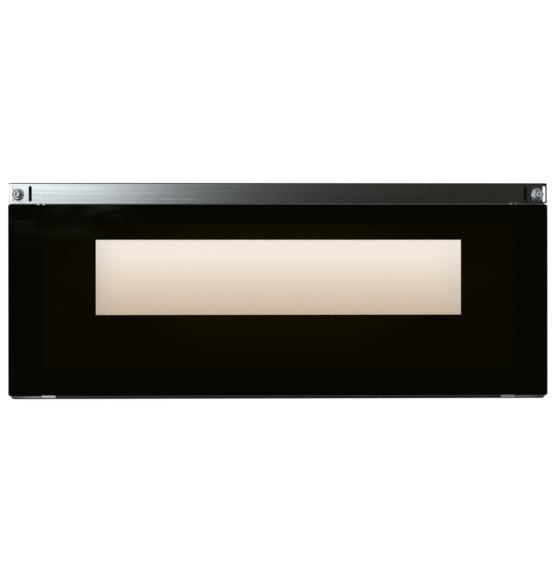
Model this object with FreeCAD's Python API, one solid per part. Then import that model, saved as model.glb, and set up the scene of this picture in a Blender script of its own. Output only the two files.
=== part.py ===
import FreeCAD, Part
import math
import os

from FreeCAD import Vector

# Outer door panel of the upper oven of a range. A sheet of black-printed toughened glass with a
# clear window is bonded to a frame of four folded steel rails. The top rail shows above the glass
# as a brushed strip that carries the two handle studs, and the bottom rail shows below it as a lip,
# with a bracket at each end that hooks round the glass's bottom edge.
#
# Millimetres. The panel lies on its back. X runs along its width, to the right as seen from the
# front, +Y runs up the door to the handle strip, and +Z points out of the front face. The origin
# is below the middle of the panel, on the plane that the frame rests on.

# Whole panel
panel_width = 750.0             # the glass and the handle strip
strip_height = 29.7             # steel that shows above the glass
lip_height = 4.2                # steel that shows below the glass
frame_depth = 20.0              # from the back of the frame to its front face

# Glass
glass_height = 267.0
glass_thickness = 4.0
glass_corner_radius = 4.0
glass_edge_grind = 0.6          # ground corner along every edge
print_thickness = 0.05          # black print fired on the back, left off the window
window_width = 508.0
window_height = 104.0
window_drop = 50.0              # from the glass's top edge to the window

# Folded sheet of the rails
sheet = 0.8
bend_radius = 1.2               # inside of each fold
end_clearance = 0.5             # a rail's cut end to the fold that it faces

# Top and bottom rails
top_bond_height = 28.2          # face of the top rail behind the glass
bottom_bond_height = 38.5       # face of the bottom rail behind the glass
back_flange_height = 27.5       # covers the inside ends of the slots
stiffener_depth = 10.0          # return along the frame's inner edge
face_inset = 3.5                # faces behind the glass, short of its side edges
strip_end_margin = 1.5          # strip's full-width ends, down to above the glass

# Side rails
side_inset = 5.0                # side wall of the frame, in from the glass's side edges
side_bond_width = 47.5          # from the glass's side edge to the frame's inner edge
side_back_flange_width = 20.0
screw_hole_radius = 2.75
screw_edge_distance = 10.0      # from the side wall to the screw holes
screw_end_distance = 50.45      # from the frame's top and bottom to the nearer screw hole

# Adhesive that bonds the glass to the rails
bond_gap = 1.6                  # front face of the frame to the glass
bead_width = 12.0
bead_end_margin = 10.0          # bead ends, in from the glass's side edges

# Handle studs
stud_inset = 13.0               # axis, in from the strip's end
stud_drop = 16.5                # axis, below the strip's top
stud_flange_radius = 8.6
stud_flange_rim = 0.4           # straight edge of the flange, below its cone
stud_flange_thickness = 2.2
stud_flange_top_radius = 6.4
stud_neck_radius = 4.0
stud_neck_length = 2.8
stud_head_radius = 5.3
stud_head_length = 7.0
stud_face_radius = 3.9          # flat front end inside the bevel of the head
stud_bevel_length = 1.2
stud_shank_radius = 3.0
stud_shank_past_nut = 2.0
stud_hole_clearance = 0.25
socket_across_flats = 4.0
socket_depth = 3.0

# Nuts behind the studs
nut_across_flats = 10.0
nut_height = 6.0
nut_thread_clearance = 0.05

# Slots in the strip
slot_width = 4.5
slot_length = 22.0
end_slot_inset = 4.25           # centre, in from the strip's end
handle_slot_inset = 30.0
slot_drop = 15.6                # middle, below the strip's top
slot_backing_clearance = 1.0    # larger opening in the side rail behind a handle slot

# Hooks round the glass's edges
hook_bend_radius = 0.4
hook_front_clearance = 0.3      # front of the glass to the inside of a hook

# Stop hooks lanced out of the top rail, in pairs
stop_hook_width = 2.6
stop_hook_pitch = 7.4           # between the two of a pair
stop_hook_inset = 46.0          # middle of a pair, in from the glass's side edge
stop_hook_gap = 0.3             # glass's top edge to the hook
stop_hook_overlap = 1.6         # hook's end over the front of the glass
stop_hook_relief = 0.8          # slit beside each hook

# Brackets on the face of the bottom rail
bracket_sheet = 1.2
bracket_length = 62.0
bracket_height = 11.0           # above the glass's bottom edge
bracket_drop = 2.4              # below the glass's bottom edge
rest_hook_width = 19.0
rest_hook_gap = 0.7             # glass's bottom edge to the hook
rest_hook_overlap = 1.3
rest_hook_relief = 1.0          # slit between the hook and the rest of the bracket

# Places worked out from the sizes
panel_height = strip_height + glass_height + lip_height
panel_top = panel_height / 2
panel_bottom = -panel_height / 2
glass_top = panel_top - strip_height
glass_bottom = panel_bottom + lip_height
glass_back = frame_depth + bond_gap
glass_front = glass_back + glass_thickness
half_width = panel_width / 2
side_wall_x = half_width - side_inset
inner_edge_x = half_width - side_bond_width
side_face = frame_depth - sheet
stud_x = half_width - stud_inset
stud_y = panel_top - stud_drop
slot_y = panel_top - slot_drop
face_half_width = half_width - face_inset
fold_size = bend_radius + sheet


def corner_arc(before, corner, after, radius):
    """Tangent points and middle point of the arc that rounds a corner."""
    backward = (before - corner).normalize()
    forward = (after - corner).normalize()
    half_angle = backward.getAngle(forward) / 2
    reach = radius / math.tan(half_angle)
    inward = (backward + forward).normalize()
    middle = corner + inward * (radius / math.sin(half_angle) - radius)
    return corner + backward * reach, middle, corner + forward * reach


def rounded_path(corners, radii):
    """Edges through the corners, with each inner corner rounded by its own radius."""
    edges = []
    start = corners[0]
    for index, radius in enumerate(radii):
        arc_start, middle, arc_end = corner_arc(*corners[index:index + 3], radius)
        edges.append(Part.LineSegment(start, arc_start).toShape())
        edges.append(Part.Arc(arc_start, middle, arc_end).toShape())
        start = arc_end
    edges.append(Part.LineSegment(start, corners[-1]).toShape())
    return edges


def folded_sheet(corners, along, thickness, inside_radius):
    """Sheet folded along a middle line through the corners and drawn out by a vector."""
    axis = Vector(along).normalize()
    runs = [(end - start).normalize() for start, end in zip(corners, corners[1:])]
    normals = [axis.cross(run) for run in runs]
    faces = []
    for side in (1, -1):
        offset = side * thickness / 2
        line = [corners[0] + normals[0] * offset]
        radii = []
        for corner, normal, next_normal, next_run in zip(corners[1:], normals, normals[1:], runs[1:]):
            line.append(corner + (normal + next_normal) * (offset / (1 + normal.dot(next_normal))))
            turns_this_way = side * normal.dot(next_run) > 0
            radii.append(inside_radius if turns_this_way else inside_radius + thickness)
        line.append(corners[-1] + normals[-1] * offset)
        faces.append((line, radii))
    (left, left_radii), (right, right_radii) = faces
    edges = rounded_path(left, left_radii)
    edges.append(Part.LineSegment(left[-1], right[-1]).toShape())
    edges += rounded_path(right[::-1], right_radii[::-1])
    edges.append(Part.LineSegment(right[0], left[0]).toShape())
    return Part.Face(Part.Wire(edges)).extrude(along)


def block(x_range, y_range, z_range):
    """Box between two limits along each axis."""
    (x0, x1), (y0, y1), (z0, z1) = (sorted(limits) for limits in (x_range, y_range, z_range))
    return Part.makeBox(x1 - x0, y1 - y0, z1 - z0, Vector(x0, y0, z0))


def slot_cutter(x, y, width, length, z_range):
    """Upright round-ended slot."""
    radius = width / 2
    straight = length / 2 - radius
    low, high = z_range
    lower_left = Vector(x - radius, y - straight, low)
    lower_right = Vector(x + radius, y - straight, low)
    upper_left = Vector(x - radius, y + straight, low)
    upper_right = Vector(x + radius, y + straight, low)
    edges = [
        Part.LineSegment(lower_right, upper_right).toShape(),
        Part.Arc(upper_right, Vector(x, y + length / 2, low), upper_left).toShape(),
        Part.LineSegment(upper_left, lower_left).toShape(),
        Part.Arc(lower_left, Vector(x, y - length / 2, low), lower_right).toShape(),
    ]
    return Part.Face(Part.Wire(edges)).extrude(Vector(0, 0, high - low))


def hexagon_prism(x, y, across_flats, z_range):
    """Hexagonal prism that stands along Z, with two flats facing along Y."""
    low, high = z_range
    corner_radius = across_flats / math.sqrt(3)
    angles = [math.radians(60 * index) for index in range(7)]
    points = [Vector(x + corner_radius * math.cos(angle), y + corner_radius * math.sin(angle), low)
              for angle in angles]
    return Part.Face(Part.makePolygon(points)).extrude(Vector(0, 0, high - low))


def turned(profile, x, y):
    """Solid turned about an upright axis from (radius, height) points."""
    points = [Vector(x + radius, y, height) for radius, height in profile]
    face = Part.Face(Part.makePolygon(points + points[:1]))
    return face.revolve(Vector(x, y, 0), Vector(0, 0, 1), 360)


def make_glass():
    """Toughened glass with ground edges, and the window left free of print on its back."""
    glass = block((-half_width, half_width), (glass_bottom, glass_top),
                  (glass_back, glass_front))
    upright_edges = [edge for edge in glass.Edges
                     if abs(edge.tangentAt(edge.FirstParameter).z) > 0.5]
    glass = glass.makeFillet(glass_corner_radius, upright_edges)
    rim_edges = [edge for edge in glass.Edges
                 if abs(edge.tangentAt(edge.FirstParameter).z) < 0.5]
    glass = glass.makeChamfer(glass_edge_grind, rim_edges)
    window_top = glass_top - window_drop
    window = block((-window_width / 2, window_width / 2),
                   (window_top - window_height, window_top),
                   (glass_back, glass_back + print_thickness))
    return glass.cut(window)


def rail_channel(outer_y, inner_y, rail_half_width):
    """Channel along X, from its stiffener by its face and outer flange to its back flange."""
    up = 1 if outer_y > inner_y else -1
    half_sheet = sheet / 2
    front_z = frame_depth - half_sheet
    stiffener_y = inner_y + up * half_sheet
    flange_y = outer_y - up * half_sheet
    corners = [
        Vector(-rail_half_width, stiffener_y, frame_depth - stiffener_depth),
        Vector(-rail_half_width, stiffener_y, front_z),
        Vector(-rail_half_width, flange_y, front_z),
        Vector(-rail_half_width, flange_y, half_sheet),
        Vector(-rail_half_width, outer_y - up * back_flange_height, half_sheet),
    ]
    channel = folded_sheet(corners, Vector(2 * rail_half_width, 0, 0), sheet, bend_radius)
    stiffener_end = inner_edge_x - end_clearance
    for side in (-1, 1):
        flange_notch = block((side * side_wall_x, side * panel_width),
                             (outer_y, outer_y - up * back_flange_height),
                             (0, side_face))
        stiffener_notch = block((side * stiffener_end, side * panel_width),
                                (inner_y, inner_y + up * fold_size),
                                (0, side_face))
        channel = channel.cut(flange_notch).cut(stiffener_notch)
    return channel


def stop_hook(x):
    """Hook bent forward above the glass and down over its front, and the opening it leaves."""
    half_sheet = sheet / 2
    middle_radius = hook_bend_radius + half_sheet
    middle_z = frame_depth - half_sheet
    over_glass_y = glass_top + stop_hook_gap + half_sheet
    root_y = over_glass_y + middle_radius
    front_z = glass_front + hook_front_clearance + half_sheet
    left = x - stop_hook_width / 2
    corners = [
        Vector(left, root_y + hook_bend_radius, middle_z),
        Vector(left, over_glass_y, middle_z),
        Vector(left, over_glass_y, front_z),
        Vector(left, glass_top - stop_hook_overlap, front_z),
    ]
    hook = folded_sheet(corners, Vector(stop_hook_width, 0, 0), sheet, hook_bend_radius)
    metal_length = front_z - frame_depth + over_glass_y - (glass_top - stop_hook_overlap)
    opening_half_width = stop_hook_width / 2 + stop_hook_relief
    opening = block((x - opening_half_width, x + opening_half_width),
                    (root_y, root_y - metal_length), (side_face, frame_depth))
    return hook, opening


def make_top_rail():
    """Brushed strip with its slots, stud holes and stop hooks."""
    inner_y = glass_top - top_bond_height
    rail = rail_channel(panel_top, inner_y, half_width)
    hole_radius = stud_shank_radius + stud_hole_clearance
    for side in (-1, 1):
        rail = rail.cut(block((side * face_half_width, side * half_width),
                              (inner_y, glass_top + strip_end_margin), (side_face, frame_depth)))
        for inset in (end_slot_inset, handle_slot_inset):
            rail = rail.cut(slot_cutter(side * (half_width - inset), slot_y, slot_width,
                                        slot_length, (side_face, frame_depth)))
        rail = rail.cut(Part.makeCylinder(hole_radius, sheet,
                                          Vector(side * stud_x, stud_y, side_face)))
        for step in (-0.5, 0.5):
            hook, opening = stop_hook(side * (half_width - stop_hook_inset) + step * stop_hook_pitch)
            rail = rail.cut(opening).fuse(hook)
    return rail.removeSplitter()


def make_bottom_rail():
    """Rail whose fold is the lip below the glass, cut off square at the ends of the fold."""
    rail = rail_channel(panel_bottom, glass_bottom + bottom_bond_height, face_half_width)
    for side in (-1, 1):
        rail = rail.cut(block((side * side_wall_x, side * face_half_width),
                              (panel_bottom, panel_bottom + fold_size), (0, frame_depth)))
    return rail


def make_bracket(side):
    """Plate on the bottom rail's face, with a hook round the glass's edge at its inner end."""
    outer_x = side * face_half_width
    inner_x = outer_x - side * bracket_length
    hook_end_x = inner_x + side * rest_hook_width
    plate_top = glass_bottom + bracket_height
    plate = block((hook_end_x + side * rest_hook_relief, outer_x),
                  (glass_bottom - bracket_drop, plate_top),
                  (frame_depth, frame_depth + bracket_sheet))
    half_sheet = bracket_sheet / 2
    middle_z = frame_depth + half_sheet
    under_glass_y = glass_bottom - rest_hook_gap - half_sheet
    front_z = glass_front + hook_front_clearance + half_sheet
    left = min(inner_x, hook_end_x)
    corners = [
        Vector(left, plate_top, middle_z),
        Vector(left, under_glass_y, middle_z),
        Vector(left, under_glass_y, front_z),
        Vector(left, glass_bottom + rest_hook_overlap, front_z),
    ]
    hook = folded_sheet(corners, Vector(rest_hook_width, 0, 0), bracket_sheet, hook_bend_radius)
    bridge = block((inner_x, outer_x), (glass_bottom + bracket_height / 2, plate_top),
                   (frame_depth, frame_depth + bracket_sheet))
    return plate.fuse(bridge).fuse(hook).removeSplitter()


def make_side_rail(side):
    """Channel along Y that passes behind the faces of the top and bottom rails."""
    half_sheet = sheet / 2
    end_y = panel_top - fold_size - end_clearance
    start_y = panel_bottom + fold_size + end_clearance
    inner_x = side * (inner_edge_x + half_sheet)
    wall_x = side * (side_wall_x - half_sheet)
    face_z = side_face - half_sheet
    corners = [
        Vector(inner_x, start_y, side_face - stiffener_depth),
        Vector(inner_x, start_y, face_z),
        Vector(wall_x, start_y, face_z),
        Vector(wall_x, start_y, half_sheet),
        Vector(side * (side_wall_x - side_back_flange_width), start_y, half_sheet),
    ]
    rail = folded_sheet(corners, Vector(0, end_y - start_y, 0), sheet, bend_radius)
    for outer_y, up in ((panel_top, 1), (panel_bottom, -1)):
        cope = block((0, side * half_width),
                     (outer_y, outer_y - up * (back_flange_height + end_clearance)),
                     (0, fold_size))
        rail = rail.cut(cope)
    hole_x = side * (side_wall_x - screw_edge_distance)
    for hole_y in (panel_bottom + screw_end_distance, panel_top - screw_end_distance):
        rail = rail.cut(Part.makeCylinder(screw_hole_radius, sheet, Vector(hole_x, hole_y, 0)))
    face_depth = (side_face - sheet, side_face)
    stud_hole_radius = stud_shank_radius + stud_hole_clearance
    rail = rail.cut(Part.makeCylinder(stud_hole_radius, sheet,
                                      Vector(side * stud_x, stud_y, side_face - sheet)))
    backing_slot = slot_cutter(side * (half_width - handle_slot_inset), slot_y,
                               slot_width + 2 * slot_backing_clearance,
                               slot_length + 2 * slot_backing_clearance, face_depth)
    return rail.cut(backing_slot)


def make_stud(side):
    """Shoulder stud that a handle's end slips over, with a socket for a hexagon key."""
    flange_top = frame_depth + stud_flange_thickness
    head_back = flange_top + stud_neck_length
    head_front = head_back + stud_head_length
    shank_back = side_face - sheet - nut_height - stud_shank_past_nut
    profile = [
        (0, shank_back),
        (stud_shank_radius, shank_back),
        (stud_shank_radius, frame_depth),
        (stud_flange_radius, frame_depth),
        (stud_flange_radius, frame_depth + stud_flange_rim),
        (stud_flange_top_radius, flange_top),
        (stud_neck_radius, flange_top),
        (stud_neck_radius, head_back),
        (stud_head_radius, head_back),
        (stud_head_radius, head_front - stud_bevel_length),
        (stud_face_radius, head_front),
        (0, head_front),
    ]
    stud = turned(profile, side * stud_x, stud_y)
    socket = hexagon_prism(side * stud_x, stud_y, socket_across_flats,
                           (head_front - socket_depth, head_front))
    return stud.cut(socket)


def make_nut(side):
    """Nut that clamps the side rail and the top rail to the stud's flange."""
    front = side_face - sheet
    back = front - nut_height
    body = hexagon_prism(side * stud_x, stud_y, nut_across_flats, (back, front))
    bore = Part.makeCylinder(stud_shank_radius + nut_thread_clearance, nut_height,
                             Vector(side * stud_x, stud_y, back))
    return body.cut(bore)


def make_cross_bead(bond_middle_y):
    """Adhesive along the top or bottom rail."""
    bead_half_length = half_width - bead_end_margin
    return block((-bead_half_length, bead_half_length),
                 (bond_middle_y - bead_width / 2, bond_middle_y + bead_width / 2),
                 (frame_depth, glass_back))


def make_side_bead(side):
    """Adhesive along a side rail, thicker because that rail passes behind the others."""
    bond_middle_x = side * (side_wall_x + inner_edge_x) / 2
    return block((bond_middle_x - bead_width / 2, bond_middle_x + bead_width / 2),
                 (glass_bottom + bottom_bond_height, glass_top - top_bond_height),
                 (side_face, glass_back))


def write(name, shape):
    """One STEP file for a piece."""
    shape.exportStep(f"parts/{name}.step")


os.makedirs("parts", exist_ok=True)

write("glass_panel", make_glass())
write("top_rail", make_top_rail())
write("bottom_rail", make_bottom_rail())
write("adhesive_top", make_cross_bead(glass_top - top_bond_height / 2))
write("adhesive_bottom", make_cross_bead(glass_bottom + bottom_bond_height / 2))
for side_name, side in (("left", -1), ("right", 1)):
    write(f"side_rail_{side_name}", make_side_rail(side))
    write(f"corner_bracket_{side_name}", make_bracket(side))
    write(f"adhesive_{side_name}", make_side_bead(side))
    write(f"handle_stud_{side_name}", make_stud(side))
    write(f"stud_nut_{side_name}", make_nut(side))
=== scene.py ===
import math
import random

import bpy
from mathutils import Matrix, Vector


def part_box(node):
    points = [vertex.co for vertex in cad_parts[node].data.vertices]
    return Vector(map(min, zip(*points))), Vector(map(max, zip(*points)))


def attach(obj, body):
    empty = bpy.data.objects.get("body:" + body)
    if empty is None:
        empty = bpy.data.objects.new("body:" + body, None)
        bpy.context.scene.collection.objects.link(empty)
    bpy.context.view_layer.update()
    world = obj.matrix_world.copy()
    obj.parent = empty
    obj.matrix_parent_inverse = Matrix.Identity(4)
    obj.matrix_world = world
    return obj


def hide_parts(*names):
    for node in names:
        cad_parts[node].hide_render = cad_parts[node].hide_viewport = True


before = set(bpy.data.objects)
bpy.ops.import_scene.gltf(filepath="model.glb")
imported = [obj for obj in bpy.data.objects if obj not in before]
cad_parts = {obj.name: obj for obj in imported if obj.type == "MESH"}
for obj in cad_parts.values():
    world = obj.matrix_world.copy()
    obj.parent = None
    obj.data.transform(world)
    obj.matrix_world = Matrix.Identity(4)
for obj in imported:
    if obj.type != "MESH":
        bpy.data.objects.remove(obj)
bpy.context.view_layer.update()        # the panel's bodies and nodes, in metres, lying on its back
MM = 0.001


# Side rails
# A channel behind each end of the glass, folded from 0.8 mm steel sheet that was zinc plated and
# rolled before folding. The screws of the inner door go through their back flanges.
class Shade:
    """A socket of a material's nodes, so that shader maths reads as arithmetic."""

    def __init__(self, tree, socket=None):
        self.tree = tree
        self.socket = socket

    def node(self, kind, settings, sockets, output=0):
        """Adds a node with its settings and the values or links of its sockets."""
        made = self.tree.nodes.new("ShaderNode" + kind)
        for name, value in settings.items():
            setattr(made, name, value)
        for key, value in sockets.items():
            if isinstance(value, Shade):
                self.tree.links.new(value.socket, made.inputs[key])
            else:
                made.inputs[key].default_value = value
        return Shade(self.tree, made.outputs[output]) if made.outputs else None

    def maths(self, operation, *values):
        """Maths node on these values alone."""
        return self.node("Math", {"operation": operation}, dict(enumerate(values)))

    def __add__(self, other):
        return self.maths("ADD", self, other)

    def __sub__(self, other):
        return self.maths("SUBTRACT", self, other)

    def __rsub__(self, other):
        return self.maths("SUBTRACT", other, self)

    def __mul__(self, other):
        return self.maths("MULTIPLY", self, other)

    def __pow__(self, other):
        return self.maths("POWER", self, other)

    def __abs__(self):
        return self.maths("ABSOLUTE", self)

    def larger(self, other):
        return self.maths("MAXIMUM", self, other)

    def smaller(self, other):
        return self.maths("MINIMUM", self, other)

    __radd__ = __add__
    __rmul__ = __mul__

    def rise(self, low, high):
        """0 at low, 1 at high, and smooth between them."""
        return self.node("MapRange", {"interpolation_type": "SMOOTHSTEP"},
                         {"Value": self, "From Min": low, "From Max": high})

    def between(self, first, second):
        """Colour that goes from the first to the second as this value goes from 0 to 1."""
        return self.node("Mix", {"data_type": "RGBA"}, {0: self, 6: first, 7: second}, 2)

    def along_axes(self):
        """The three numbers of a place."""
        split = self.node("SeparateXYZ", {}, {0: self}).socket.node
        return [Shade(self.tree, output) for output in split.outputs]

    def grain(self, stretch, detail=2.0):
        """Noise at this place, with so many grains to the millimetre along each axis."""
        stretched = self.node("Mapping", {}, {"Vector": self, "Scale": stretch})
        return self.node("TexNoise", {}, {"Vector": stretched, "Scale": 1.0, "Detail": detail})

    def relief(self, height):
        """Normal of a surface that this value raises by up to so many millimetres."""
        return self.node("Bump", {}, {"Height": self, "Distance": height * MM})


def begin_finish(name):
    """New material, and the place on the piece in millimetres."""
    material = bpy.data.materials.new(name)
    material.use_nodes = True
    material.node_tree.nodes.clear()
    start = Shade(material.node_tree)
    metres = start.node("TexCoord", {}, {}, "Object")
    place = start.node("VectorMath", {"operation": "SCALE"}, {0: metres, "Scale": 1 / MM})
    return material, place


def zinc_finish(name, rolling_stretch, find_painted_shade):
    """Plated zinc with a fine spangle and lines along the rolling, and painted shade, darker and a
    little rougher, where the given mask finds it.
    """
    material, place = begin_finish(name)
    painted_shade = find_painted_shade(*place.along_axes())
    rolling = place.grain(rolling_stretch, 3.0)
    clouds = place.grain((0.04, 0.04, 0.04), 4.0)
    crystals_per_mm = 0.55
    crystals = place.node("TexVoronoi", {}, {"Vector": place, "Scale": crystals_per_mm}, "Color")
    spangle = crystals.along_axes()[0]
    tone = rolling * 0.35 + clouds * 0.4 + spangle * 0.25
    shine = tone.rise(0.25, 0.75)
    plated = shine.between((0.40, 0.402, 0.38, 1), (0.60, 0.602, 0.565, 1))
    # The colour of the painted shade.
    shaded_zinc = shine.between((0.060, 0.062, 0.060, 1), (0.115, 0.117, 0.112, 1))
    place.node("OutputMaterial", {}, {"Surface": place.node("BsdfPrincipled", {}, {
        "Base Color": painted_shade.between(plated, shaded_zinc),
        "Metallic": 1.0,
        "Roughness": tone * 0.22 + 0.22 + painted_shade * 0.15,
        "Normal": rolling.relief(0.02),
    })})
    return material


def dress(node_name, material):
    """Puts a finish on a node of the frame."""
    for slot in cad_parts[node_name].material_slots:
        slot.material = material


def painted_shade_at_fold(x, y, z):
    """Painted shade round the front fold of each rail's outer wall, which lies in the shade of the
    top rail's strip.
    """
    _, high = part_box("side_rail_right")
    wall, face = high.x / MM, high.z / MM
    on_face = abs(x).rise(wall - 2.6, wall - 1.6)
    on_wall = z.rise(face - 4.0, face - 2.2)
    return on_face * on_wall


rail_zinc = zinc_finish("zinc_rolled_along_y", (2.6, 0.03, 2.6), painted_shade_at_fold)
dress("side_rail_left", rail_zinc)
dress("side_rail_right", rail_zinc)


# Bottom rail
# The lower channel, folded from steel sheet that has a baked black coat. Its fold shows below the
# glass as a thin lip. The coat is half matte, with the slight orange peel of sprayed enamel.
def black_coat_finish():
    material, place = begin_finish("baked_black_coat")
    peel = place.grain((0.9, 0.9, 0.9), 1.0)
    haze = place.grain((0.02, 0.05, 0.05), 3.0)
    colour = haze.rise(0.3, 0.7).between((0.004, 0.005, 0.004, 1), (0.008, 0.009, 0.007, 1))
    place.node("OutputMaterial", {}, {"Surface": place.node("BsdfPrincipled", {}, {
        "Base Color": colour,
        "Roughness": haze * 0.12 + 0.40,
        "Specular IOR Level": 0.3,
        "Normal": peel.relief(0.03),
    })})
    return material


dress("bottom_rail", black_coat_finish())


# Corner brackets
# Plates of 1.2 mm zinc-plated sheet, welded to the bottom rail's face near its ends. The inner end
# of each is folded forward round the glass's bottom edge, which rests on it.
def plate_painted_shade(x, y, z):
    """Painted shade on the plate under the glass's overhanging edge, darker still towards its outer
    end; the hook stays bright.
    """
    low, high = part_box("corner_bracket_right")
    hook_width = 19.0
    hook_end, outer_end = low.x / MM + hook_width, high.x / MM
    past_hook = abs(x).rise(hook_end, hook_end + 1.0)
    near_end = abs(x).rise(outer_end - 32.0, outer_end - 6.0)
    return past_hook * 0.55 + near_end * 0.40


bracket_zinc = zinc_finish("zinc_rolled_along_x", (0.03, 2.6, 2.6), plate_painted_shade)
dress("corner_bracket_left", bracket_zinc)
dress("corner_bracket_right", bracket_zinc)


# Top rail
# The upper channel, folded from 0.8 mm stainless sheet that is brushed along its length on its
# outer side and left as rolled on its inner side. It shows above the glass as the handle strip.
strip_face = 20.0                # front face of the strip, and so the depth of the frame
strip_height = 29.7


def brushed_finish():
    material, place = begin_finish("brushed_stainless")
    low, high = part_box("top_rail")
    bend_outside = 2.0
    _, y, z = place.along_axes()
    middle_y = (low.y + high.y) / 2 / MM
    half_y = (high.y - low.y) / 2 / MM - bend_outside
    middle_z = strip_face / 2
    half_z = strip_face / 2 - bend_outside
    past_y = abs(y - middle_y) - half_y
    past_z = abs(z - middle_z) - half_z
    corner = (past_y.larger(0.0) ** 2 + past_z.larger(0.0) ** 2) ** 0.5
    below_skin = bend_outside - corner - past_y.larger(past_z).smaller(0.0)
    outer = below_skin.rise(0.5, 0.3)
    hairs = place.grain((0.02, 5.5, 5.5), 2.0)
    streaks = place.grain((0.005, 0.45, 0.45), 4.0)
    clouds = place.grain((0.02, 0.03, 0.03), 2.0)
    tone = hairs * 0.45 + streaks * 0.55
    # Painted shade: the strip is painted darker towards its lower edge, which the glass's edge
    # shades.
    up_strip = y.rise(high.y / MM - strip_height, high.y / MM - bend_outside)
    line = tone.rise(0.34, 0.66)
    lower = line.between((0.475, 0.492, 0.503, 1), (0.67, 0.690, 0.70, 1))
    upper = line.between((0.605, 0.622, 0.627, 1), (0.80, 0.82, 0.83, 1))
    brushed = up_strip.between(lower, upper)
    # Painted shade: the outside of the folds is painted nearly black, for the dark that they mirror.
    fold_painted_dark = past_y.rise(-0.2, 0.5) * past_z.rise(-0.6, 0.4)
    stretched = fold_painted_dark.between(brushed, (0.080, 0.080, 0.076, 1))
    # Painted shade: the rolled inner side is painted dark, for the shade inside the channel.
    shaded_inside = clouds.rise(0.3, 0.7).between((0.10, 0.102, 0.10, 1), (0.16, 0.162, 0.16, 1))
    brush_direction = place.node("CombineXYZ", {}, {"X": 1.0, "Y": 0.02, "Z": 0.02})
    across_the_brushing = 0.25
    place.node("OutputMaterial", {}, {"Surface": place.node("BsdfPrincipled", {}, {
        "Base Color": outer.between(shaded_inside, stretched),
        "Metallic": 1.0,
        "Roughness": outer * (tone * 0.08 - 0.20) + 0.42,
        "Anisotropic": 0.9,
        "Anisotropic Rotation": across_the_brushing,
        "Tangent": brush_direction,
        "Normal": (hairs * outer).relief(0.002),
    })})
    return material


dress("top_rail", brushed_finish())


# Spot welds
# The rails are joined where their faces lie on each other. Each weld left a shallow dished mark
# with a raised rim on the back of the side rail's face, seen from behind the panel.
def turn_up(name, sides, x, y, profile):
    """Disc at the foot of a profile, drawn up through its (radius, height) points in millimetres."""
    bpy.ops.object.select_all(action="DESELECT")
    radius, height = profile[0]
    bpy.ops.mesh.primitive_circle_add(vertices=sides, radius=radius * MM, fill_type="NGON",
                                      location=(x, y, height * MM))
    piece = bpy.context.object
    piece.name = name
    bpy.ops.object.mode_set(mode="EDIT")
    for next_radius, next_height in profile[1:]:
        bpy.ops.mesh.extrude_region_move(
            TRANSFORM_OT_translate={"value": (0, 0, (next_height - height) * MM)})
        share = next_radius / radius
        bpy.ops.transform.resize(value=(share, share, 1), center_override=(x, y, next_height * MM))
        radius, height = next_radius, next_height
    bpy.ops.mesh.select_all(action="SELECT")
    bpy.ops.mesh.normals_make_consistent(inside=False)
    bpy.ops.object.mode_set(mode="OBJECT")
    return piece


def settle(piece, material, sharp_angle=30):
    """Fixes a finished piece's place in its mesh, and gives it its finish and its body."""
    bpy.ops.object.select_all(action="DESELECT")
    piece.select_set(True)
    bpy.context.view_layer.objects.active = piece
    bpy.ops.object.transform_apply(location=True, rotation=True, scale=True)
    bpy.ops.object.shade_smooth_by_angle(angle=math.radians(sharp_angle))
    piece.data.materials.clear()
    piece.data.materials.append(material)
    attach(piece, "root")


def weld_finish():
    """Zinc burnt off in the middle of each mark, with a straw and blue tint round it."""
    material, place = begin_finish("spot_weld")
    mottle = place.grain((1.4, 1.4, 1.4), 3.0)
    colour = mottle.rise(0.35, 0.65).between((0.20, 0.19, 0.20, 1), (0.42, 0.38, 0.32, 1))
    place.node("OutputMaterial", {}, {"Surface": place.node("BsdfPrincipled", {}, {
        "Base Color": colour,
        "Metallic": 1.0,
        "Roughness": mottle * 0.3 + 0.35,
        "Normal": mottle.relief(0.03),
    })})
    return material


weld_metal = weld_finish()
side_rail_back = 18.4            # back of the side rail's face
weld_inset = 8.0                 # out from the frame's inner edge
weld_margin = 6.0                # from the edge of the rail's face to the first weld
weld_pitch = 14.0
weld_sides = 24
weld_profile = [(2.9, 0.0), (2.7, -0.10), (2.3, -0.12), (1.9, -0.04), (0.6, -0.03)]
for side_name, side in (("left", -1), ("right", 1)):
    low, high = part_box(f"side_rail_{side_name}")
    weld_x = side * (min(abs(low.x), abs(high.x)) + weld_inset * MM)
    top_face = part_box("top_rail")[0].y
    bottom_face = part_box("bottom_rail")[1].y
    marks = [top_face + (weld_margin + weld_pitch * step) * MM for step in range(3)]
    marks += [bottom_face - (weld_margin + weld_pitch * step) * MM for step in range(2)]
    for number, weld_y in enumerate(marks, 1):
        drawn = [(radius, side_rail_back + height) for radius, height in weld_profile]
        weld = turn_up(f"spot_weld_{side_name}_{number}", weld_sides, weld_x, weld_y, drawn)
        settle(weld, weld_metal)


# Handle studs
# Shoulder studs turned from steel bar and zinc plated blue. The handle's ends slip over the heads,
# and a key in the hexagon socket holds the stud while its nut is run up behind the strip.
stud_low, stud_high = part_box("handle_stud_right")
stud_axis_x = (stud_low.x + stud_high.x) / 2
stud_axis_y = (stud_low.y + stud_high.y) / 2
stud_back = stud_low.z / MM
stud_front = stud_high.z / MM
stud_sides = 72
shank_radius = 3.0
flange_radius = 8.6
flange_rim = 0.4                 # straight edge of the flange, below its cone
flange_top = strip_face + 2.2
flange_top_radius = 6.4
neck_radius = 4.0
head_radius = 5.3
head_back = strip_face + 5.0
bevel_length = 1.2
face_radius = 3.9
socket_flats = 4.0
socket_depth = 3.0
drill_radius = 1.9
drill_point = 0.6
mouth_radius = 2.5
mouth_depth = 0.5
thread_core = 2.5
thread_length = 3.0
thread_runout = 0.4
thread_pitch = 1.0
thread_turns = 2
thread_tip = 2.98
thread_section = 0.5             # radius of the triangle that is wound round the core
thread_start = 0.47              # first turn, in from the stud's back


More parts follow.
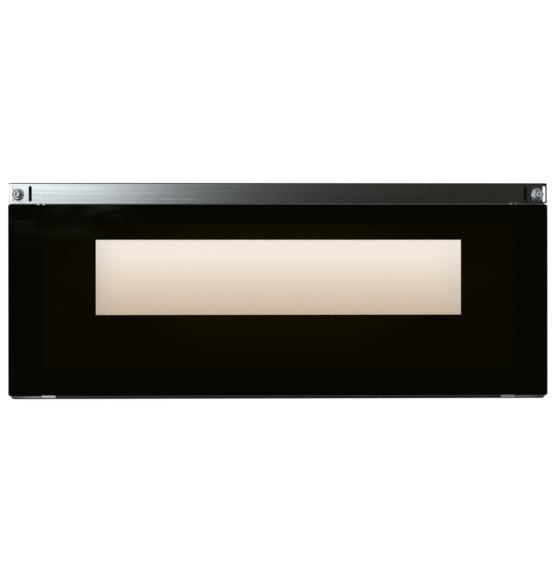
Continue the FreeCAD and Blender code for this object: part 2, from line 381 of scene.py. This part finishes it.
def turned_finish():
    """Blue-white plating over fine tool rings, with a painted highlight on the head's face and
    painted shade on its bevel and in its socket.
    """
    material, place = begin_finish("plated_turned_steel")
    x, y, z = place.along_axes()
    radius = ((abs(x) - stud_axis_x / MM) ** 2 + (y - stud_axis_y / MM) ** 2) ** 0.5
    rings = radius.node("TexNoise", {"noise_dimensions": "1D"}, {"W": radius + z, "Scale": 9.0})
    bloom = place.grain((0.25, 0.25, 0.25), 3.0)
    plating = bloom.rise(0.3, 0.7).between((0.38, 0.42, 0.425, 1), (0.58, 0.625, 0.625, 1))
    bevel_back = stud_front - bevel_length
    socket_foot = stud_front - socket_depth
    # Painted shade on the bevel and in the socket, and a painted highlight on the face.
    bevel = (z.rise(bevel_back - 0.05, bevel_back + 0.10)
             * radius.rise(face_radius - 0.2, face_radius + 0.05))
    socket = (z.rise(socket_foot - 0.3, socket_foot + 0.1)
              * radius.rise(mouth_radius - 0.05, mouth_radius - 0.3))
    face = z.rise(stud_front - 0.10, stud_front - 0.03)
    dark = (bevel + socket).smaller(1.0)
    colour = dark.between(face.between(plating, (0.72, 0.75, 0.76, 1)), (0.045, 0.062, 0.068, 1))
    place.node("OutputMaterial", {}, {"Surface": place.node("BsdfPrincipled", {}, {
        "Base Color": colour,
        "Metallic": 1.0,
        "Roughness": rings * 0.16 + bloom * 0.10 + 0.14 + face * 0.25,
        "Normal": rings.relief(0.012),
    })})
    return material


def cut(piece, cutter, operation):
    """Boolean cut or overlap of two pieces, which uses up the cutter."""
    bpy.ops.object.select_all(action="DESELECT")
    piece.select_set(True)
    bpy.context.view_layer.objects.active = piece
    bpy.ops.object.modifier_add(type="BOOLEAN")
    modifier = piece.modifiers[-1]
    modifier.operation = operation
    modifier.object = cutter
    bpy.ops.object.modifier_apply(modifier=modifier.name)
    bpy.data.objects.remove(cutter)


def hexagon_bar(x, y, across_flats, low, high):
    """Six-sided prism with two flats facing along Y."""
    bpy.ops.object.select_all(action="DESELECT")
    bpy.ops.mesh.primitive_cylinder_add(
        vertices=6, radius=across_flats / math.sqrt(3) * MM, depth=(high - low) * MM,
        location=(x, y, (low + high) / 2 * MM), rotation=(0, 0, math.radians(30)))
    return bpy.context.object


def round_edges(piece, width, segments, angle):
    """Small bevel along the edges that turn by more than an angle."""
    bpy.ops.object.select_all(action="DESELECT")
    piece.select_set(True)
    bpy.context.view_layer.objects.active = piece
    bpy.ops.object.modifier_add(type="BEVEL")
    modifier = piece.modifiers[-1]
    modifier.width = width * MM
    modifier.segments = segments
    modifier.limit_method = "ANGLE"
    modifier.angle_limit = math.radians(angle)
    bpy.ops.object.modifier_apply(modifier=modifier.name)


plated_steel = turned_finish()
thread_end = stud_back + thread_length
stud_profile = [
    (thread_core - thread_runout, stud_back), (thread_core, stud_back + thread_runout),
    (thread_core, thread_end), (shank_radius, thread_end + thread_runout),
    (shank_radius, strip_face), (flange_radius, strip_face),
    (flange_radius, strip_face + flange_rim), (flange_top_radius, flange_top),
    (neck_radius, flange_top), (neck_radius, head_back), (head_radius, head_back),
    (head_radius, stud_front - bevel_length), (face_radius, stud_front),
]
for side_name, side in (("left", -1), ("right", 1)):
    stud_x = side * stud_axis_x
    stud = turn_up(f"shoulder_stud_{side_name}", stud_sides, stud_x, stud_axis_y, stud_profile)
    round_edges(stud, width=0.12, segments=2, angle=20)
    socket_foot = stud_front - socket_depth
    mouth = turn_up("mouth", stud_sides, stud_x, stud_axis_y, [
        (0.2, socket_foot - drill_point), (drill_radius, socket_foot),
        (drill_radius, stud_front - mouth_depth),
        (mouth_radius - 0.5, stud_front - mouth_depth + 0.15),
        (mouth_radius, stud_front + 0.15)])
    cut(stud, mouth, "DIFFERENCE")
    key_hole = hexagon_bar(stud_x, stud_axis_y, socket_flats, socket_foot, stud_front + 1.0)
    cut(stud, key_hole, "DIFFERENCE")
    settle(stud, plated_steel)
    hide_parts(f"handle_stud_{side_name}")
    bpy.ops.object.select_all(action="DESELECT")
    bpy.ops.mesh.primitive_circle_add(
        vertices=3, radius=thread_section * MM,
        location=(stud_x, stud_axis_y, (stud_back + thread_start) * MM),
        rotation=(math.radians(90), 0, 0))
    thread = bpy.context.object
    thread.name = f"stud_thread_{side_name}"
    bpy.ops.object.transform_apply(location=False, rotation=True, scale=True)
    bpy.ops.object.mode_set(mode="EDIT")
    bpy.ops.transform.rotate(value=math.radians(-90), orient_axis="Y",
                             center_override=tuple(thread.location))
    bpy.ops.transform.translate(value=((thread_tip - thread_section) * MM, 0, 0))
    bpy.ops.object.mode_set(mode="OBJECT")
    bpy.ops.object.modifier_add(type="SCREW")
    helix = thread.modifiers[-1]
    helix.screw_offset = thread_pitch * MM
    helix.iterations = thread_turns
    helix.steps = 48
    helix.render_steps = 48
    bpy.ops.object.modifier_apply(modifier=helix.name)
    bpy.ops.object.mode_set(mode="EDIT")
    bpy.ops.mesh.select_all(action="SELECT")
    bpy.ops.mesh.fill_holes(sides=0)
    bpy.ops.mesh.select_all(action="SELECT")
    bpy.ops.mesh.normals_make_consistent(inside=False)
    bpy.ops.object.mode_set(mode="OBJECT")
    settle(thread, plated_steel)


# Stud nuts
# Cold-formed hexagon nuts of 10 mm across the flats, zinc plated like the studs. Their corners are
# chamfered on both faces, and the mouths of the bore are countersunk.
nut_flats = 10.0
nut_face_radius = 4.75
nut_corner_radius = 5.9          # a little past the corners, so that only their ends are cut
nut_chamfer = 0.66
nut_bore = 3.05
bore_mouth = 3.6
nut_low, nut_high = (corner.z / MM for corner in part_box("stud_nut_right"))
for side_name, side in (("left", -1), ("right", 1)):
    stud_x = side * stud_axis_x
    nut = hexagon_bar(stud_x, stud_axis_y, nut_flats, nut_low, nut_high)
    nut.name = f"hexagon_nut_{side_name}"
    blank = turn_up("blank", stud_sides, stud_x, stud_axis_y, [
        (nut_face_radius, nut_low), (nut_corner_radius, nut_low + nut_chamfer),
        (nut_corner_radius, nut_high - nut_chamfer), (nut_face_radius, nut_high)])
    cut(nut, blank, "INTERSECT")
    bore = turn_up("bore", stud_sides, stud_x, stud_axis_y, [
        (bore_mouth, nut_low - 0.2), (nut_bore, nut_low + 0.35),
        (nut_bore, nut_high - 0.35), (bore_mouth, nut_high + 0.2)])
    cut(nut, bore, "DIFFERENCE")
    round_edges(nut, width=0.08, segments=1, angle=25)
    settle(nut, plated_steel)
    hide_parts(f"stud_nut_{side_name}")


# Adhesive beads
# Black silicone, laid on the rails as a round bead and squeezed flat when the glass was pressed
# on. Its edges wander a little and bulge out of the joint.
def silicone_finish():
    material, place = begin_finish("black_silicone")
    skin = place.grain((0.35, 0.35, 0.35), 3.0)
    colour = skin.rise(0.3, 0.7).between((0.010, 0.010, 0.010, 1), (0.022, 0.022, 0.021, 1))
    place.node("OutputMaterial", {}, {"Surface": place.node("BsdfPrincipled", {}, {
        "Base Color": colour,
        "Roughness": skin * 0.3 + 0.35,
        "Normal": skin.relief(0.15),
    })})
    return material


def squeezed_bead(node_name, along, steps, draws):
    """Flat bead drawn out step by step, each a little wider or narrower than the last."""
    low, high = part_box(node_name)
    middle = (low + high) / 2
    size = high - low
    across = 1 - along
    step_length = size[along] / steps
    start = list(middle)
    start[along] = low[along] + step_length / 2
    bpy.ops.object.select_all(action="DESELECT")
    scale = list(size)
    scale[along] = step_length
    bpy.ops.mesh.primitive_cube_add(size=1, location=start, scale=scale)
    piece = bpy.context.object
    piece.name = node_name.replace("adhesive", "silicone_bead")
    bpy.ops.object.transform_apply(location=True, rotation=True, scale=True)
    bpy.ops.object.mode_set(mode="EDIT")
    bpy.ops.mesh.select_all(action="DESELECT")
    bpy.ops.mesh.select_mode(type="FACE")
    bpy.ops.object.mode_set(mode="OBJECT")
    for face in piece.data.polygons:
        face.select = face.normal[along] > 0.9
    bpy.ops.object.mode_set(mode="EDIT")
    width = 1.0
    most_narrowed = 0.14
    for step in range(1, steps):
        shift = [0.0, 0.0, 0.0]
        shift[along] = step_length
        bpy.ops.mesh.extrude_region_move(TRANSFORM_OT_translate={"value": shift})
        next_width = 1 - draws.uniform(0.0, most_narrowed)
        share = [1.0, 1.0, 1.0]
        share[across] = next_width / width
        bpy.ops.transform.resize(value=share, center_override=tuple(middle))
        width = next_width
    bpy.ops.object.mode_set(mode="OBJECT")
    for edge in piece.data.edges:
        first, second = (piece.data.vertices[index].co for index in edge.vertices)
        edge.select = abs((second - first).normalized()[along]) > 0.7
    bpy.ops.object.mode_set(mode="EDIT")
    bpy.ops.mesh.select_mode(type="EDGE")
    bpy.ops.mesh.bevel(offset=size.z * 0.45, offset_type="OFFSET", segments=4)
    bpy.ops.object.mode_set(mode="OBJECT")
    return piece


silicone = silicone_finish()
bead_draws = random.Random(7)
for node_name, along, steps in (("adhesive_top", 0, 60), ("adhesive_bottom", 0, 60),
                                ("adhesive_left", 1, 24), ("adhesive_right", 1, 24)):
    bead = squeezed_bead(node_name, along, steps, bead_draws)
    settle(bead, silicone, 60)
    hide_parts(node_name)


# Glass panel
# 4 mm toughened float glass with ground edges. Black enamel is screen printed on its back and
# fired in when the glass is toughened. The window is left clear and tinted brown, with painted
# shade that deepens the tint towards its bottom.
window_drop = 50.0               # from the glass's top edge to the window
window_half_width = 254.0
window_half_height = 52.0
window_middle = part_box("glass_panel")[1].y / MM - window_drop - window_half_height


def glass_finish():
    material, place = begin_finish("printed_glass")
    low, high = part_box("glass_panel")
    x, y, z = place.along_axes()
    corner_radius = 4.0
    edge_grind = 0.6
    middle_y = (low.y + high.y) / 2 / MM
    half_height = (high.y - low.y) / 2 / MM
    back = low.z / MM

    window_x = abs(x) - window_half_width
    window_y = abs(y - window_middle) - window_half_height
    window = window_x.larger(window_y).rise(0.04, -0.04)

    past_x = abs(x) - (high.x / MM - corner_radius)
    past_y = abs(y - middle_y) - (half_height - corner_radius)
    round_part = (past_x.larger(0.0) ** 2 + past_y.larger(0.0) ** 2) ** 0.5
    from_rim = corner_radius - round_part - past_x.larger(past_y).smaller(0.0)
    ground = from_rim.rise(edge_grind + 0.08, edge_grind - 0.05)
    behind = z.rise(back + 0.30, back + 0.20)

    opening_half_width = abs(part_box("side_rail_left")[1].x) / MM
    opening_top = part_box("top_rail")[0].y / MM
    opening_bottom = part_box("bottom_rail")[1].y / MM
    opening_middle = (opening_top + opening_bottom) / 2
    frame_x = abs(x) - opening_half_width
    frame_y = abs(y - opening_middle) - (opening_top - opening_middle)
    open_behind = frame_x.larger(frame_y).rise(2.0, -2.0)
    # Painted light: the print is painted brown where light from behind would shine through it, most
    # beside the window, and blacker over the frame, which shades it.
    over_frame = (0.0009, 0.0019, 0.0002, 1)
    over_opening = (0.0034, 0.0026, 0.0003, 1)
    beside_window = (0.0075, 0.0050, 0.0008, 1)
    from_window = (abs(x) - 100.0).larger(0.0) * 0.5 + abs(y - window_middle)
    beside = from_window.rise(125.0, 45.0)
    print_with_painted_light = open_behind.between(over_frame, beside.between(over_opening, beside_window))
    speckle = place.grain((1.2, 1.2, 1.2), 4.0)
    bare_print = speckle.rise(0.3, 0.7).between((0.016, 0.016, 0.016, 1), (0.030, 0.030, 0.029, 1))
    ground_glass = speckle.rise(0.3, 0.7).between((0.006, 0.008, 0.006, 1), (0.014, 0.018, 0.014, 1))
    # Painted shade: the ground edge is painted dark along the glass's bottom and lighter along its
    # other sides.
    past_lip = y.rise(low.y / MM + 2.0, low.y / MM + 6.0)
    ground_glass = past_lip.between(ground_glass, (0.105, 0.11, 0.10, 1))
    wiped = place.grain((0.015, 0.045, 0.02), 4.0)
    gloss = wiped.rise(0.35, 0.75) * 0.05 + 0.02
    colour = ground.between(behind.between(print_with_painted_light, bare_print), ground_glass)
    roughness = behind * 0.50 * (1 - ground) + ground * 0.42 + gloss * (1 - behind) * (1 - ground)
    printed = place.node("BsdfPrincipled", {}, {
        "Base Color": colour,
        "Roughness": roughness,
        "IOR": 1.52,
        "Normal": (speckle * (behind + ground)).relief(0.015),
    })
    # Painted shade: the window's brown tint is made deeper towards its bottom.
    painted_shade_down_window = (y - window_middle).rise(110.0, -110.0)
    tinted = place.node("MixShader", {}, {
        0: painted_shade_down_window,
        1: place.node("BsdfTransparent", {}, {"Color": (0.990, 0.960, 0.943, 1)}),
        2: place.node("BsdfTransparent", {}, {"Color": (0.713, 0.633, 0.537, 1)}),
    })
    grazing = place.node("LayerWeight", {}, {"Blend": 0.5}, "Facing") ** 5
    head_on = 0.043                  # share that glass mirrors of light that meets it squarely
    clear = place.node("MixShader", {}, {
        0: grazing * (1 - head_on) + head_on,
        1: tinted,
        2: place.node("BsdfGlossy", {}, {"Color": (1, 1, 1, 1), "Roughness": 0.02}),
    })
    place.node("OutputMaterial", {}, {
        "Surface": place.node("MixShader", {}, {0: window, 1: printed, 2: clear})})
    return material


dress("glass_panel", glass_finish())


# Studio
# The panel lies on a wide sheet of pale acrylic, lit from below, with a painted pool of light, a
# brighter glow, under the window. To its left and right the walls of a tent glow, the roof between
# them is dark, and a black card in the left wall keeps its light off the glass. The horizon is pale
# all round.
bpy.ops.object.select_all(action="DESELECT")
bpy.ops.mesh.primitive_plane_add(size=60, location=(0, 0, 0))
floor = bpy.context.object
floor.name = "studio_floor"
floor_material, floor_place = begin_finish("pale_floor")
floor_tone = floor_place.grain((0.004, 0.004, 0.004), 3.0)
floor_x, floor_y, _ = floor_place.along_axes()
lit_half_width = window_half_width + 36.0
lit_half_height = window_half_height + 28.0
# A painted pool of light: the floor glows brighter under the window.
under_window = (abs(floor_x).rise(lit_half_width + 50.0, lit_half_width)
                * abs(floor_y - window_middle).rise(lit_half_height + 30.0, lit_half_height))
floor_place.node("OutputMaterial", {}, {"Surface": floor_place.node("BsdfPrincipled", {}, {
    "Base Color": floor_tone.between((0.44, 0.44, 0.436, 1), (0.46, 0.46, 0.456, 1)),
    "Roughness": 0.9,
    "Specular IOR Level": 0.0,
    "Emission Color": under_window.between((0.80, 0.797, 0.79, 1), (0.93, 0.925, 0.916, 1)),
    "Emission Strength": 1.0,
})})
floor.data.materials.append(floor_material)


studio_air = bpy.data.worlds.new("studio_air")
bpy.context.scene.world = studio_air
studio_air.use_nodes = True
studio_air.node_tree.nodes.clear()
air = Shade(studio_air.node_tree)
across, along, up = air.node("TexCoord", {}, {}, "Generated").along_axes()
left_wall = across.rise(-0.076, -0.094)
right_wall = across.rise(0.36, 0.56)
glow_outward = abs(across).rise(0.35, 0.75) * 0.6 + 1.95
glow_upward = up.rise(0.42, 0.70) * 0.85 + 0.15
dim_below = 1 - along.rise(-0.25, -0.60) * 0.75
black_card = across.rise(-0.24, -0.19) * along.rise(-0.14, -0.11) * along.rise(0.068, 0.061)
tent = (left_wall + right_wall) * glow_outward * glow_upward * dim_below * (1 - black_card)
horizon = up.rise(0.34, 0.16) * (across.rise(0.6, -0.6) * 0.46 + 0.50)
dark_room = 0.020
room_colour = horizon.rise(0.0, 0.3).between((1.0, 0.98, 0.62, 1), (1.0, 1.0, 1.0, 1))
air_colour = tent.rise(0.0, 0.8).between(room_colour, (0.945, 0.995, 1.03, 1))
air.node("OutputWorld", {}, {"Surface": air.node("Background", {}, {
    "Color": air_colour, "Strength": tent.larger(horizon) + dark_room})})

bpy.context.scene.view_settings.view_transform = "Standard"


# Camera
# It looks straight down on the panel from 2 m, a little left of its middle, as the photograph
# was taken.
focal_pixels = 1421.5
frame_long_side = 580
camera_data = bpy.data.cameras.new("camera")
camera_data.sensor_width = 36.0
camera_data.lens = camera_data.sensor_width * focal_pixels / frame_long_side
camera = bpy.data.objects.new("camera", camera_data)
bpy.context.scene.collection.objects.link(camera)
camera.location = (-0.0425, 0.0025, 2.0)
camera.rotation_euler = (-0.0007, -0.0209, -0.0009)
bpy.context.scene.camera = camera

bpy.context.view_layer.update()
